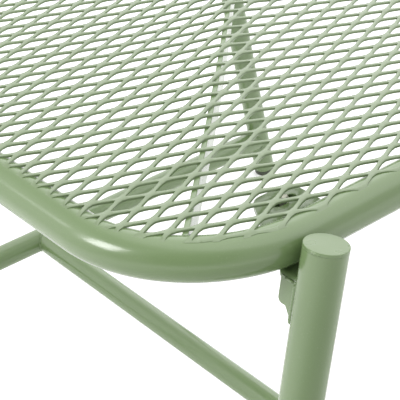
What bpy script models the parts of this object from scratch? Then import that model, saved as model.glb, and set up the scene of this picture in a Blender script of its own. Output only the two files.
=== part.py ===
"""Square picnic table: an expanded-metal top in a round-tube rim, carried by two splayed leg frames.

Origin: on the ground under the middle of the top. +Z up, the two leg frames stand at -Y and +Y.
All lengths are in metres.
"""

import math

import bmesh
import bpy
from mathutils import Matrix, Vector

# Driving dimensions
TABLE_HEIGHT = 0.762
TOP_SIDE = 1.015
TUBE_RADIUS = 0.019
TUBE_WALL = 0.002
STRETCHER_RADIUS = 0.017
RIM_CORNER_RADIUS = 0.131
LEG_INSET = 0.1155
LEG_SPLAY = 0.188
RAIL_HEIGHT = 0.078
CLEARANCE = 0.0003

# Expanded-metal top, drawn at three times the pitch of the real sheet
MESH_LONG_PITCH = 0.135
MESH_SHORT_PITCH = 0.066
MESH_STRAND = 0.008
MESH_THICKNESS = 0.0025
MESH_LIFT = 0.0190

# Flat-bar stiffeners on edge, under both diagonals of the top
STIFFENER_WIDTH = 0.005
STIFFENER_DEPTH = 0.030

# Leg brackets, rim lugs and their M8 fasteners
PLATE = 0.005
LUG_NEAR = 0.057
LUG_FAR = -0.009
LUG_TIP = 0.014
LUG_REACH = 0.100
FLANGE_NEAR = 0.050
FLANGE_FAR = 0.004
FLANGE_REACH = 0.095
STRIP_NEAR = 0.040
GUSSET_SIDE = 0.0105
GUSSET_REACH = 0.033
GUSSET_TOP = -0.0225
GUSSET_BOTTOM = -0.0486
GUSSET_TOE = -0.0600
BOLT_ACROSS = 0.033
BOLT_REACH = 0.081
BOLT_RADIUS = 0.004
BOLT_HOLE_RADIUS = 0.0045
SLOT_RUN = 0.017
HEX_RADIUS = 0.0075
HEAD_HEIGHT = 0.0053
NUT_HEIGHT = 0.004
WASHER_RADIUS = 0.008
WASHER_HEIGHT = 0.0015
BOLT_TOP = 0.0100

CAP_HEIGHT = 0.003
PLUG_LENGTH = 0.022
FOOT_HEIGHT = 0.012
DRAIN_RADIUS = 0.003
ROUND_SIDES = 32

# Derived places
RIM_Z = TABLE_HEIGHT - TUBE_RADIUS
RIM_HALF = TOP_SIDE / 2 - TUBE_RADIUS
LEG_X = RIM_HALF - LEG_INSET
LEG_Y = RIM_HALF + 2 * TUBE_RADIUS + 0.001
SPLAY_ANGLE = math.atan(LEG_SPLAY)
CORNERS = {
    "front_left": (-1, -1),
    "front_right": (1, -1),
    "rear_left": (-1, 1),
    "rear_right": (1, 1),
}

GREEN = (0.27, 0.37, 0.205, 1.0)
PALE_GREEN = (0.34, 0.44, 0.27, 1.0)
FOOT_GREY = (0.06, 0.065, 0.055, 1.0)
ZINC = (0.55, 0.56, 0.54, 1.0)


def clear_scene():
    for obj in list(bpy.data.objects):
        bpy.data.objects.remove(obj, do_unlink=True)


def new_collection(name):
    collection = bpy.data.collections.new(name)
    bpy.context.scene.collection.children.link(collection)
    return collection


def new_material(name, colour, roughness, metallic):
    material = bpy.data.materials.new(name)
    material.use_nodes = True
    shader = material.node_tree.nodes["Principled BSDF"]
    shader.inputs["Base Color"].default_value = colour
    shader.inputs["Roughness"].default_value = roughness
    shader.inputs["Metallic"].default_value = metallic
    material.diffuse_color = colour
    return material


clear_scene()
PARTS = new_collection("picnic_table")
CUTTERS = new_collection("cutters")


def file_under(obj, collection):
    for old in list(obj.users_collection):
        old.objects.unlink(obj)
    collection.objects.link(obj)


def add_part(obj, name, material):
    """Files obj as a named sub-part with its own material and smooth round faces."""
    obj.name = name
    obj.data.name = name
    obj.data.materials.clear()
    obj.data.materials.append(new_material(name + "_finish", *material))
    obj.data.shade_smooth()
    obj.data.set_sharp_from_angle(angle=math.radians(35))
    file_under(obj, PARTS)
    return obj


def as_cutter(obj, name):
    obj.name = name
    obj.hide_render = True
    obj.display_type = "WIRE"
    file_under(obj, CUTTERS)
    return obj


def boolean(obj, tool, operation):
    """Adds a Boolean of tool to obj; the tool becomes a cutter."""
    if tool.name not in CUTTERS.objects:
        as_cutter(tool, obj.name + "_" + operation.lower())
    modifier = obj.modifiers.new(operation.lower(), "BOOLEAN")
    modifier.operation = operation
    modifier.object = tool
    return obj


def cylinder(radius, start, end, sides=ROUND_SIDES):
    """A closed cylinder from start to end."""
    start = Vector(start)
    end = Vector(end)
    axis = end - start
    bpy.ops.mesh.primitive_cylinder_add(vertices=sides, radius=radius, depth=axis.length)
    obj = bpy.context.object
    turn = axis.to_track_quat("Z", "Y").to_matrix().to_4x4()
    obj.matrix_world = Matrix.Translation((start + end) / 2) @ turn
    return obj


def mesh_from_curve(curve_object):
    """Turns a curve object into a mesh object with welded caps and outward faces."""
    bpy.context.view_layer.update()
    graph = bpy.context.evaluated_depsgraph_get()
    mesh = bpy.data.meshes.new_from_object(curve_object.evaluated_get(graph))
    obj = bpy.data.objects.new(curve_object.name, mesh)
    obj.matrix_world = curve_object.matrix_world
    bpy.data.objects.remove(curve_object, do_unlink=True)
    bm = bmesh.new()
    bm.from_mesh(mesh)
    bmesh.ops.remove_doubles(bm, verts=bm.verts, dist=0.00001)
    bmesh.ops.recalc_face_normals(bm, faces=bm.faces)
    bm.to_mesh(mesh)
    bm.free()
    PARTS.objects.link(obj)
    return obj


def poly_curve(name, points, closed, dimensions):
    curve = bpy.data.curves.new(name, "CURVE")
    curve.dimensions = dimensions
    spline = curve.splines.new("POLY")
    spline.points.add(len(points) - 1)
    for spot, point in zip(spline.points, points):
        spot.co = (*point, 1.0) if len(point) == 3 else (*point, 0.0, 1.0)
    spline.use_cyclic_u = closed
    obj = bpy.data.objects.new(name, curve)
    PARTS.objects.link(obj)
    return obj


def rounded_outline(corners, steps=6):
    """Points of a polygon whose corners, given as (x, y, radius), are rounded."""
    points = []
    count = len(corners)
    for index, (x, y, radius) in enumerate(corners):
        here = Vector((x, y))
        if radius == 0:
            points.append((x, y))
            continue
        before = (Vector(corners[index - 1][:2]) - here).normalized()
        after = (Vector(corners[(index + 1) % count][:2]) - here).normalized()
        half = before.angle(after) / 2
        centre = here + (before + after).normalized() * radius / math.sin(half)
        first = here + before * radius / math.tan(half) - centre
        sweep = first.angle_signed(here + after * radius / math.tan(half) - centre)
        for step in range(steps + 1):
            turn = Matrix.Rotation(-sweep * step / steps, 2)
            points.append(tuple(centre + turn @ first))
    return points


def flat_plate(name, outline, thickness, frame):
    """A flat plate: the outline in the frame's XY plane, its thickness centred on it."""
    curve_object = poly_curve(name, outline, True, "2D")
    curve_object.data.fill_mode = "BOTH"
    curve_object.data.extrude = thickness / 2
    obj = mesh_from_curve(curve_object)
    obj.matrix_world = frame
    return obj


def axes_frame(origin, x_axis, y_axis):
    """A frame at origin with the given X and Y axes."""
    x_axis = Vector(x_axis)
    y_axis = Vector(y_axis)
    frame = Matrix((x_axis, y_axis, x_axis.cross(y_axis))).transposed().to_4x4()
    frame.translation = origin
    return frame


def rounded_square(half, radius, steps):
    return rounded_outline(
        [(half, half, radius), (-half, half, radius), (-half, -half, radius), (half, -half, radius)],
        steps,
    )


def rim_loop(name, radius, sides):
    """The rim's closed tube, as a solid of the given radius."""
    loop = rounded_square(RIM_HALF, RIM_CORNER_RADIUS, 9)
    curve_object = poly_curve(name, [(x, y, RIM_Z) for x, y in loop], True, "3D")
    curve_object.data.bevel_depth = radius
    curve_object.data.bevel_resolution = (sides - 4) // 2
    return mesh_from_curve(curve_object)


def leg_point(corner, height):
    """A point on a leg's axis at the given height."""
    side_x, side_y = corner
    return Vector((side_x * (LEG_X + LEG_SPLAY * (RIM_Z - height)), side_y * LEG_Y, height))


def leg_axis(corner):
    """The leg's unit axis, pointing up."""
    return (leg_point(corner, 1.0) - leg_point(corner, 0.0)).normalized()


def bracket_point(corner, across, reach, height):
    """A point by a leg's top: across towards the middle in X, reach from the leg's axis inwards."""
    side_x, side_y = corner
    return Vector((side_x * (LEG_X - across), side_y * (LEG_Y - reach), RIM_Z + height))


PAINT = (GREEN, 0.42, 0.0)
PALE_PAINT = (PALE_GREEN, 0.42, 0.0)
PLASTIC = (FOOT_GREY, 0.6, 0.0)
PLATED = (ZINC, 0.35, 1.0)


def make_rim():
    rim = rim_loop("top_rim", TUBE_RADIUS, 24)
    boolean(rim, rim_loop("top_rim_bore", TUBE_RADIUS - TUBE_WALL, 12), "DIFFERENCE")
    for side in (-1, 1):
        foot = (side * RIM_HALF, 0.0, RIM_Z - 2 * TUBE_RADIUS)
        boolean(rim, cylinder(DRAIN_RADIUS, foot, (side * RIM_HALF, 0.0, RIM_Z), 12), "DIFFERENCE")
    add_part(rim, "top_rim", PAINT)


def make_mesh_panel():
    """The expanded sheet: diamonds cut from one rounded square, then thickened."""
    low = MESH_LIFT - MESH_THICKNESS / 2
    edge = math.sqrt((TUBE_RADIUS + CLEARANCE) ** 2 - low**2) + CLEARANCE
    outline = rounded_square(RIM_HALF - edge, RIM_CORNER_RADIUS - edge, 9)
    bm = bmesh.new()
    bm.faces.new([bm.verts.new((x, y, 0.0)) for x, y in outline])
    for lean in (-1, 1):
        along = Vector((MESH_LONG_PITCH, lean * MESH_SHORT_PITCH, 0.0)).normalized()
        across = Vector((-along.y, along.x, 0.0))
        spacing = MESH_LONG_PITCH * MESH_SHORT_PITCH / math.hypot(MESH_LONG_PITCH, MESH_SHORT_PITCH)
        count = math.ceil(TOP_SIDE * 0.75 / spacing)
        for row in range(-count, count + 1):
            geometry = bm.verts[:] + bm.edges[:] + bm.faces[:]
            bmesh.ops.bisect_plane(bm, geom=geometry, plane_co=across * spacing * row, plane_no=across)
    whole = MESH_LONG_PITCH * MESH_SHORT_PITCH / 2
    holes = [face for face in bm.faces if face.calc_area() > 0.45 * whole]
    bmesh.ops.inset_individual(bm, faces=holes, thickness=MESH_STRAND / 2, use_even_offset=True)
    bmesh.ops.delete(bm, geom=holes, context="FACES")
    bmesh.ops.recalc_face_normals(bm, faces=bm.faces)
    mesh = bpy.data.meshes.new("mesh_panel")
    bm.to_mesh(mesh)
    bm.free()
    panel = bpy.data.objects.new("mesh_panel", mesh)
    panel.location.z = RIM_Z + MESH_LIFT
    PARTS.objects.link(panel)
    solid = panel.modifiers.new("thickness", "SOLIDIFY")
    solid.thickness = MESH_THICKNESS
    solid.offset = 0.0
    add_part(panel, "mesh_panel", PALE_PAINT)


def flat_bar(name, angle, start, end):
    """A stiffener bar on edge, on a diagonal of the top, from start to end along it."""
    height = RIM_Z + MESH_LIFT - MESH_THICKNESS / 2 - CLEARANCE - STIFFENER_DEPTH / 2
    bpy.ops.mesh.primitive_cube_add(size=1.0)
    bar = bpy.context.object
    size = Matrix.Diagonal((end - start, STIFFENER_WIDTH, STIFFENER_DEPTH, 1.0))
    bar.data.transform(Matrix.Translation(((start + end) / 2, 0.0, height)) @ size)
    bar.rotation_euler.z = angle
    boolean(bar, RIM_CUTTER, "DIFFERENCE")
    add_part(bar, name, PAINT)


def make_stiffeners():
    corner = math.sqrt(2) * (RIM_HALF - RIM_CORNER_RADIUS) + RIM_CORNER_RADIUS
    gap = STIFFENER_WIDTH / 2 + CLEARANCE
    flat_bar("stiffener_long", math.radians(45), -corner, corner)
    flat_bar("stiffener_left", math.radians(135), gap, corner)
    flat_bar("stiffener_right", math.radians(-45), gap, corner)


def make_leg(place, corner):
    axis = leg_axis(corner)
    bottom = leg_point(corner, FOOT_HEIGHT)
    rise = TUBE_RADIUS * math.sin(SPLAY_ANGLE)
    top = leg_point(corner, TABLE_HEIGHT - rise)
    leg = cylinder(TUBE_RADIUS, bottom, top - axis * (CAP_HEIGHT + CLEARANCE))
    boolean(leg, cylinder(TUBE_RADIUS - TUBE_WALL, bottom - axis * 0.01, top + axis * 0.01), "DIFFERENCE")
    add_part(leg, "leg_" + place, PAINT)
    cap = cylinder(TUBE_RADIUS, top - axis * CAP_HEIGHT, top)
    edge = cap.modifiers.new("edge", "BEVEL")
    edge.width = 0.0006
    edge.segments = 2
    add_part(cap, "leg_cap_" + place, PALE_PAINT)
    foot_top = bottom - axis * CLEARANCE
    foot = cylinder(TUBE_RADIUS, foot_top - axis * 2 * FOOT_HEIGHT, foot_top)
    inner = TUBE_RADIUS - TUBE_WALL - CLEARANCE
    boolean(foot, cylinder(inner, foot_top - axis * 0.004, foot_top + axis * PLUG_LENGTH), "UNION")
    boolean(foot, GROUND_CUTTER, "DIFFERENCE")
    add_part(foot, "foot_" + place, PLASTIC)


def level_outline(corner, spots):
    """World X and Y of an outline given as (across, reach, radius) beside a leg's top."""
    return rounded_outline(
        [(*bracket_point(corner, across, reach, 0.0).to_2d(), radius) for across, reach, radius in spots]
    )


def upright(corner, radius, low, high, sides=ROUND_SIDES, reach=BOLT_REACH):
    """A vertical cylinder on the fastener's axis, between two heights from the rim's middle."""
    start = bracket_point(corner, BOLT_ACROSS, reach, low)
    return cylinder(radius, start, bracket_point(corner, BOLT_ACROSS, reach, high), sides)


def make_lug(place, corner):
    """The lug welded to the rim's inner side, with a slot along X for the bolt."""
    frame = Matrix.Translation((0.0, 0.0, RIM_Z + PLATE / 2))
    spots = [
        (LUG_NEAR, 0.050, 0),
        (LUG_NEAR, LUG_REACH, 0.008),
        (LUG_TIP, LUG_REACH, 0.014),
        (LUG_FAR, 0.060, 0),
        (LUG_FAR, 0.050, 0),
    ]
    lug = flat_plate("rim_lug_" + place, level_outline(corner, spots), PLATE, frame)
    boolean(lug, RIM_CUTTER, "DIFFERENCE")
    reach = BOLT_HOLE_RADIUS
    half_run = SLOT_RUN / 2 + reach
    round_end = 0.98 * reach
    spots = [
        (BOLT_ACROSS - half_run, BOLT_REACH - reach, round_end),
        (BOLT_ACROSS - half_run, BOLT_REACH + reach, round_end),
        (BOLT_ACROSS + half_run, BOLT_REACH + reach, round_end),
        (BOLT_ACROSS + half_run, BOLT_REACH - reach, round_end),
    ]
    slot = flat_plate("slot", level_outline(corner, spots), 4 * PLATE, frame)
    boolean(lug, slot, "DIFFERENCE")
    add_part(lug, "rim_lug_" + place, PAINT)


def make_bracket(place, corner):
    """The leg's bracket: a gusset, a web under the rim, and a bent strip up to a flange below the lug."""
    side_x, side_y = corner
    under = -TUBE_RADIUS - CLEARANCE
    flange_top = -CLEARANCE
    bend = 0.007
    inwards = (0.0, -side_y, 0.0)
    web = [
        (-GUSSET_SIDE - 0.004, 0.012, 0),
        (-GUSSET_SIDE - 0.004, GUSSET_REACH + 0.002, 0.004),
        (FLANGE_FAR, 0.055, 0.006),
        (FLANGE_FAR, 0.060, 0),
        (STRIP_NEAR, 0.060, 0),
        (STRIP_NEAR, 0.012, 0),
    ]
    frame = Matrix.Translation((0.0, 0.0, RIM_Z + under - PLATE / 2))
    bracket = flat_plate("leg_bracket_" + place, level_outline(corner, web), PLATE, frame)
    strip = [
        (0.050, under - PLATE, 0),
        (0.066, under - PLATE, bend),
        (0.066, flange_top - PLATE, 0.002),
        (0.075, flange_top - PLATE, 0),
        (0.075, flange_top, 0),
        (0.061, flange_top, bend),
        (0.061, under, 0.002),
        (0.050, under, 0),
    ]
    middle = bracket_point(corner, (FLANGE_FAR + STRIP_NEAR) / 2, 0.0, 0.0)
    frame = axes_frame(middle, inwards, (0.0, 0.0, 1.0))
    boolean(bracket, flat_plate("strip", rounded_outline(strip), STRIP_NEAR - FLANGE_FAR, frame), "UNION")
    flange = [
        (FLANGE_NEAR, 0.0625, 0),
        (FLANGE_NEAR, FLANGE_REACH, 0.008),
        (LUG_TIP + 0.003, FLANGE_REACH, 0.012),
        (FLANGE_FAR, 0.070, 0),
        (FLANGE_FAR, 0.0625, 0),
    ]
    frame = Matrix.Translation((0.0, 0.0, RIM_Z + flange_top - PLATE / 2))
    boolean(bracket, flat_plate("flange", level_outline(corner, flange), PLATE, frame), "UNION")
    gusset = [
        (0.012, GUSSET_TOP, 0),
        (GUSSET_REACH, GUSSET_TOP, 0),
        (GUSSET_REACH, GUSSET_BOTTOM, 0.005),
        (0.024, GUSSET_BOTTOM, 0),
        (0.016, GUSSET_TOE, 0),
        (0.012, GUSSET_TOE, 0),
    ]
    axis = leg_axis(corner)
    outer = Vector((side_x * axis.z, 0.0, abs(axis.x)))
    origin = leg_point(corner, RIM_Z) + outer * (GUSSET_SIDE - PLATE / 2)
    frame = axes_frame(origin, inwards, axis)
    boolean(bracket, flat_plate("gusset", rounded_outline(gusset), PLATE, frame), "UNION")
    boolean(bracket, upright(corner, BOLT_HOLE_RADIUS, -0.02, 0.02, 20), "DIFFERENCE")
    reach_down = axis * 0.2
    middle = leg_point(corner, RIM_Z - 0.05)
    leg_space = cylinder(TUBE_RADIUS + CLEARANCE, middle - reach_down, middle + reach_down)
    boolean(bracket, leg_space, "DIFFERENCE")
    add_part(bracket, "leg_bracket_" + place, PAINT)


def make_fasteners(place, corner):
    """The nut under the bracket's flange and the bolt from below it, its end standing in the lug's slot."""
    nut_top = -CLEARANCE - PLATE - CLEARANCE
    washer_top = nut_top - NUT_HEIGHT - CLEARANCE
    head_top = washer_top - WASHER_HEIGHT - CLEARANCE
    bolt = upright(corner, BOLT_RADIUS, head_top - HEAD_HEIGHT / 2, BOLT_TOP, 20)
    boolean(bolt, upright(corner, HEX_RADIUS, head_top - HEAD_HEIGHT, head_top, 6), "UNION")
    add_part(bolt, "bolt_" + place, PLATED)
    washer = upright(corner, WASHER_RADIUS, washer_top - WASHER_HEIGHT, washer_top, 24)
    boolean(washer, upright(corner, BOLT_HOLE_RADIUS, -0.03, 0.0, 20), "DIFFERENCE")
    add_part(washer, "washer_" + place, PLATED)
    nut = upright(corner, HEX_RADIUS, nut_top - NUT_HEIGHT, nut_top, 6)
    boolean(nut, upright(corner, BOLT_RADIUS + CLEARANCE, -0.03, 0.0, 20), "DIFFERENCE")
    add_part(nut, "nut_" + place, PLATED)


def tube_between(name, radius, start, end, tools):
    """A tube from start to end, its ends coped round the tools."""
    start = Vector(start)
    end = Vector(end)
    extra = (end - start).normalized() * 0.01
    tube = cylinder(radius, start, end)
    boolean(tube, cylinder(radius - TUBE_WALL, start - extra, end + extra), "DIFFERENCE")
    for tool in tools:
        boolean(tube, tool, "DIFFERENCE")
    add_part(tube, name, PAINT)


def make_base():
    """The two low rails and the stretcher that joins them."""
    cope_radius = TUBE_RADIUS + CLEARANCE
    rail_copes = []
    for place, side_y in (("front", -1), ("rear", 1)):
        ends = [leg_point((side_x, side_y), RAIL_HEIGHT) for side_x in (-1, 1)]
        copes = []
        for side_x in (-1, 1):
            corner = (side_x, side_y)
            cope = cylinder(cope_radius, leg_point(corner, 0.0), leg_point(corner, 0.2))
            copes.append(as_cutter(cope, "leg_cope"))
        tube_between("rail_" + place, TUBE_RADIUS, *ends, copes)
        rail_copes.append(as_cutter(cylinder(cope_radius, *ends), "rail_cope"))
    start = (0.0, -LEG_Y, RAIL_HEIGHT)
    tube_between("stretcher", STRETCHER_RADIUS, start, (0.0, LEG_Y, RAIL_HEIGHT), rail_copes)


RIM_CUTTER = as_cutter(rim_loop("rim_cope", TUBE_RADIUS + CLEARANCE, 24), "rim_cope")
bpy.ops.mesh.primitive_cube_add(size=3.0, location=(0.0, 0.0, -1.5))
GROUND_CUTTER = as_cutter(bpy.context.object, "ground_cut")

make_rim()
make_mesh_panel()
make_stiffeners()
make_base()
for place, corner in CORNERS.items():
    make_leg(place, corner)
    make_lug(place, corner)
    make_bracket(place, corner)
    make_fasteners(place, corner)
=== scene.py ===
"""Square picnic table with an expanded-metal top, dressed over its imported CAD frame.

All lengths are in metres, in the frame's own axes: +Z up, the two leg frames stand at -Y and +Y.
"""

import math

import bmesh
import bpy
import numpy as np
from mathutils import Matrix, Vector


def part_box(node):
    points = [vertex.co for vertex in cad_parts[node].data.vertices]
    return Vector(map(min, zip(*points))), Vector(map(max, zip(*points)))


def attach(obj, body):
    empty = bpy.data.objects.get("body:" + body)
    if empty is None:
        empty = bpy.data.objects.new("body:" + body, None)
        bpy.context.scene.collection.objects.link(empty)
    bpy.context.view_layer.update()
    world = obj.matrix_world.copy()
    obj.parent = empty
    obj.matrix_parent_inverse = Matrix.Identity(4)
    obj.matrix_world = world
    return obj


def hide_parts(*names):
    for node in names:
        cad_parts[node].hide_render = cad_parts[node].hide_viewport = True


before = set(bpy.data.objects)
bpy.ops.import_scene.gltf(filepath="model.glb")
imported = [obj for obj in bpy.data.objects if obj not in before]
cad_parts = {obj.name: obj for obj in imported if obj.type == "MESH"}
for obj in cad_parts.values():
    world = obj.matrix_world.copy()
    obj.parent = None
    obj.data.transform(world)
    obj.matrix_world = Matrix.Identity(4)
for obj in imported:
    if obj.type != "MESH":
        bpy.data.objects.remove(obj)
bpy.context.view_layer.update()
BODY = "root"

# ---- Sizes read from the frame
RIM_LOW, RIM_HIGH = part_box("top_rim")
TUBE_R = (RIM_HIGH.z - RIM_LOW.z) / 2
RIM_Z = (RIM_HIGH.z + RIM_LOW.z) / 2
RIM_HALF = RIM_HIGH.x - TUBE_R
STRETCHER_LOW, STRETCHER_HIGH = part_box("stretcher")
STRETCHER_R = (STRETCHER_HIGH.x - STRETCHER_LOW.x) / 2
RAIL_Z = (STRETCHER_HIGH.z + STRETCHER_LOW.z) / 2
LEG_Y = (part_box("leg_rear_left")[0].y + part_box("leg_rear_left")[1].y) / 2
CAP_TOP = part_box("leg_cap_rear_left")[1].z
BOLT_LOW, BOLT_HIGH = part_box("bolt_front_left")
WASHER_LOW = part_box("washer_front_left")[0]
NUT_LOW, NUT_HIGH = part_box("nut_front_left")

# ---- Sizes that the frame's boxes don't give
RIM_CORNER = 0.131
TUBE_WALL = 0.002
DRAIN_R = 0.003
LEG_SPLAY = 0.188  # metres outwards in X per metre down
SPLAY_ANGLE = math.atan(LEG_SPLAY)
LEG_X = 0.373  # the legs' axes at the rim's height
GAP = 0.0003  # between pieces that touch
SHAVE = 0.0001  # between a cope and the tube it meets
CAP_HEIGHT = 0.003
FOOT_HEIGHT = 0.012

CORNERS = {
    "front_left": (-1, -1),
    "front_right": (1, -1),
    "rear_left": (-1, 1),
    "rear_right": (1, 1),
}

# Expanded sheet: heights are from the rim's middle, depths from the rim's centre line inwards
SHEET_LONG = 0.04531  # pitch along the diamonds
SHEET_SHORT = 0.02195  # pitch across the diamonds
SHEET_TURN = -0.0219  # radians from the X axis
SHEET_HOLE = (-0.33493, -0.26124)  # the middle of one opening
SHEET_THICK = 0.0022
SHEET_CHAMFER = 0.00045
SHEET_BOND = 0.0100  # length of the joint between two strands
SHEET_OPEN = 0.00745  # half an opening's width
SHEET_TIP = 0.25  # how round an opening's ends are
SHEET_MID = 0.0191
SHEET_SAG = 0.0057
SHEET_OVER_X = 0.0030  # how far the cut ends run past the rim's centre line
SHEET_OVER_Y = 0.0055
SHEET_TOP = 0.0201
SHEET_TAPER = 0.007  # the depth where the ends start to thin
SHEET_EDGE_SHARE = 0.60  # thickness left over the centre line
SHEET_END_LOSS = 0.42
SHEET_END_SHARE = 0.35
SHEET_END_RUN = 0.0016


# ---- Camera
CAMERA_PLACE = (-0.98647, -1.14465, 1.34826)
CAMERA_HEADING = 51.405
CAMERA_DOWN = 32.126
CAMERA_ROLL = 2.627


def placed(name, data):
    """A new object in the scene."""
    obj = bpy.data.objects.new(name, data)
    bpy.context.scene.collection.objects.link(obj)
    return obj


def toward(azimuth, elevation):
    """The unit vector at an azimuth from +X and an elevation, in degrees."""
    a = math.radians(azimuth)
    e = math.radians(elevation)
    return Vector((math.cos(a) * math.cos(e), math.sin(a) * math.cos(e), math.sin(e)))


def make_camera():
    data = bpy.data.cameras.new("camera")
    data.lens = 121.54
    data.sensor_width = 36.0
    data.clip_start = 0.05
    data.clip_end = 60.0
    camera = placed("camera", data)
    roll = math.radians(CAMERA_ROLL)
    forward = toward(CAMERA_HEADING, -CAMERA_DOWN)
    level = forward.cross(Vector((0.0, 0.0, 1.0))).normalized()
    raised = level.cross(forward)
    right = level * math.cos(roll) - raised * math.sin(roll)
    up = right.cross(forward)
    place = Matrix((right, up, -forward)).transposed().to_4x4()
    place.translation = CAMERA_PLACE
    camera.matrix_world = place
    bpy.context.scene.camera = camera


make_camera()


# ---- Materials
def mixed(tree, factor, first, second):
    """A colour mix node's output: first and second are colours or sockets."""
    node = tree.nodes.new("ShaderNodeMix")
    node.data_type = "RGBA"
    tree.links.new(factor, node.inputs["Factor"])
    for socket, value in (("A", first), ("B", second)):
        spot = [i for i in node.inputs if i.name == socket and i.type == "RGBA"][0]
        if hasattr(value, "links"):
            tree.links.new(value, spot)
        else:
            spot.default_value = (*value, 1.0)
    return [o for o in node.outputs if o.type == "RGBA"][0]


def ramp(tree, factor, low, high, from_value=0.0, to_value=1.0):
    """A linear map of factor from low..high onto from_value..to_value, clamped."""
    node = tree.nodes.new("ShaderNodeMapRange")
    tree.links.new(factor, node.inputs["Value"])
    for name, value in (("From Min", low), ("From Max", high), ("To Min", from_value), ("To Max", to_value)):
        node.inputs[name].default_value = value
    return node.outputs["Result"]


def noise(tree, vector, scale, detail=2.0, roughness=0.5):
    node = tree.nodes.new("ShaderNodeTexNoise")
    tree.links.new(vector, node.inputs["Vector"])
    node.inputs["Scale"].default_value = scale
    node.inputs["Detail"].default_value = detail
    node.inputs["Roughness"].default_value = roughness
    return node.outputs["Fac"]


def new_material(name, metallic=0.0):
    material = bpy.data.materials.new(name)
    material.use_nodes = True
    tree = material.node_tree
    shader = tree.nodes["Principled BSDF"]
    shader.inputs["Metallic"].default_value = metallic
    coords = tree.nodes.new("ShaderNodeTexCoord").outputs["Object"]
    return material, tree, shader, coords


def bump(tree, shader, height, distance, strength=1.0):
    node = tree.nodes.new("ShaderNodeBump")
    node.inputs["Strength"].default_value = strength
    node.inputs["Distance"].default_value = distance
    tree.links.new(height, node.inputs["Height"])
    tree.links.new(node.outputs["Normal"], shader.inputs["Normal"])


COAT_IOR = 1.65


def powder_coat(name, colour, shade, worn, roughness, wear):
    """Baked powder coat: orange peel, a slow drift of tone, finer film on the edges."""
    material, tree, shader, coords = new_material(name)
    drift = noise(tree, coords, 7.0, 3.0)
    body = mixed(tree, ramp(tree, drift, 0.3, 0.7), colour, shade)
    speck = noise(tree, coords, 900.0, 1.0)
    body = mixed(tree, ramp(tree, speck, 0.62, 0.80, 0.0, 0.25), body, worn)
    geometry = tree.nodes.new("ShaderNodeNewGeometry")
    edge = ramp(tree, geometry.outputs["Pointiness"], 0.52, 0.62, 0.0, wear)
    body = mixed(tree, edge, body, worn)
    tree.links.new(body, shader.inputs["Base Color"])
    shader.inputs["IOR"].default_value = COAT_IOR
    smear = noise(tree, coords, 38.0, 4.0)
    gloss = ramp(tree, smear, 0.25, 0.75, roughness - 0.03, roughness + 0.05)
    tree.links.new(gloss, shader.inputs["Roughness"])
    peel = noise(tree, coords, 320.0, 2.0, 0.4)
    bump(tree, shader, peel, 0.00006, 0.6)
    return material


def plated_steel(name):
    """Zinc plate with a faint yellow passivation and a fine grit in the bump."""
    material, tree, shader, coords = new_material(name, 1.0)
    cloud = noise(tree, coords, 160.0, 4.0)
    # Painted shade: the zinc's base colour is kept darker than bare zinc, standing in for the shade the
    # fasteners sit in under the table top; the yellowish tone is the passivation.
    body = mixed(tree, ramp(tree, cloud, 0.35, 0.7), (0.32, 0.33, 0.28), (0.26, 0.26, 0.19))
    tree.links.new(body, shader.inputs["Base Color"])
    tree.links.new(ramp(tree, cloud, 0.3, 0.7, 0.25, 0.42), shader.inputs["Roughness"])
    grit = noise(tree, coords, 2200.0, 1.0)
    bump(tree, shader, grit, 0.00003, 0.5)
    return material


def foot_plastic(name):
    """Moulded plastic with a fine spark texture, scuffed paler low down."""
    material, tree, shader, coords = new_material(name)
    parts = tree.nodes.new("ShaderNodeSeparateXYZ")
    tree.links.new(coords, parts.inputs["Vector"])
    scuff = noise(tree, coords, 260.0, 5.0, 0.65)
    low = ramp(tree, parts.outputs["Z"], 0.0, 0.006, 1.0, 0.0)
    both = tree.nodes.new("ShaderNodeMath")
    both.operation = "MULTIPLY"
    tree.links.new(ramp(tree, scuff, 0.45, 0.7), both.inputs[0])
    tree.links.new(low, both.inputs[1])
    body = mixed(tree, both.outputs["Value"], (0.040, 0.050, 0.030), (0.070, 0.082, 0.058))
    tree.links.new(body, shader.inputs["Base Color"])
    tree.links.new(ramp(tree, scuff, 0.3, 0.7, 0.42, 0.62), shader.inputs["Roughness"])
    grain = noise(tree, coords, 1500.0, 2.0)
    bump(tree, shader, grain, 0.00005, 0.7)
    return material


SAGE = (0.116, 0.178, 0.071)
SAGE_DEEP = (0.109, 0.166, 0.066)
SAGE_WORN = (0.180, 0.240, 0.130)
SAGE_THIN = (0.130, 0.184, 0.088)
SAGE_THIN_DEEP = (0.124, 0.172, 0.084)
COAT = powder_coat("sage_powder_coat", SAGE, SAGE_DEEP, SAGE_WORN, 0.21, 0.35)
WELD_COAT = powder_coat("sage_weld_coat", SAGE, SAGE_DEEP, SAGE_WORN, 0.27, 0.25)
SHEET_COAT = powder_coat("sage_sheet_coat", SAGE_THIN, SAGE_THIN_DEEP, SAGE_WORN, 0.24, 0.30)
CAP_COAT = powder_coat("sage_cap_coat", SAGE, SAGE_DEEP, SAGE_WORN, 0.28, 0.35)
DARKENED_ZINC = plated_steel("zinc_plate_painted_shade")
PLASTIC = foot_plastic("foot_grey_plastic")


# ---- Mesh helpers
def add_piece(name, mesh, material, nodes=(), sharp=35.0):
    """Files a mesh as a piece on the table's body and hides the CAD nodes it stands for."""
    obj = placed(name, mesh)
    mesh.materials.clear()
    mesh.materials.append(material)
    mesh.shade_smooth()
    mesh.set_sharp_from_angle(angle=math.radians(sharp))
    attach(obj, BODY)
    if nodes:
        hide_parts(*nodes)


def new_mesh(name, verts, faces):
    mesh = bpy.data.meshes.new(name)
    mesh.from_pydata([tuple(v) for v in verts], [], [tuple(f) for f in faces])
    mesh.validate()
    return mesh


def joined(name, meshes):
    """One mesh from several."""
    bm = bmesh.new()
    for mesh in meshes:
        bm.from_mesh(mesh)
        bpy.data.meshes.remove(mesh)
    result = bpy.data.meshes.new(name)
    bm.to_mesh(result)
    bm.free()
    return result


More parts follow.
